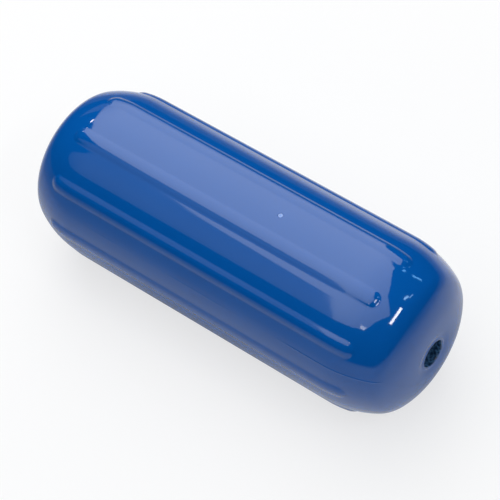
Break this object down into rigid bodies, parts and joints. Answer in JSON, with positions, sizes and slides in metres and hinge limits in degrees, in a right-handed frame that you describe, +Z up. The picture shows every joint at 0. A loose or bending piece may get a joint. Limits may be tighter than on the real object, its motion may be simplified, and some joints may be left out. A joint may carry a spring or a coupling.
{
  "type": "boat fender",
  "caption": "Inflatable boat fender: a ribbed vinyl cylinder with domed ends, a rope bore from end to end and a flush needle valve. Hung over a boat's side to cushion it.",
  "frame": {"origin": "on the ground, below the middle of the fender as it lies on its side", "axes": "+X along the rope bore, towards the end nearer the needle valve; +Z up, through the bare strip between two ribs that holds the valve"},
  "size_m": [0.381, 0.1524, 0.1486],
  "materials": {
    "vinyl_skin": "smooth, very glossy moulded soft vinyl",
    "valve_rubber": "pale satin rubber"
  },
  "bodies": {
    "root": {"fender_body": "vinyl_skin", "needle_valve": "valve_rubber"}
  },
  "joints": []
}
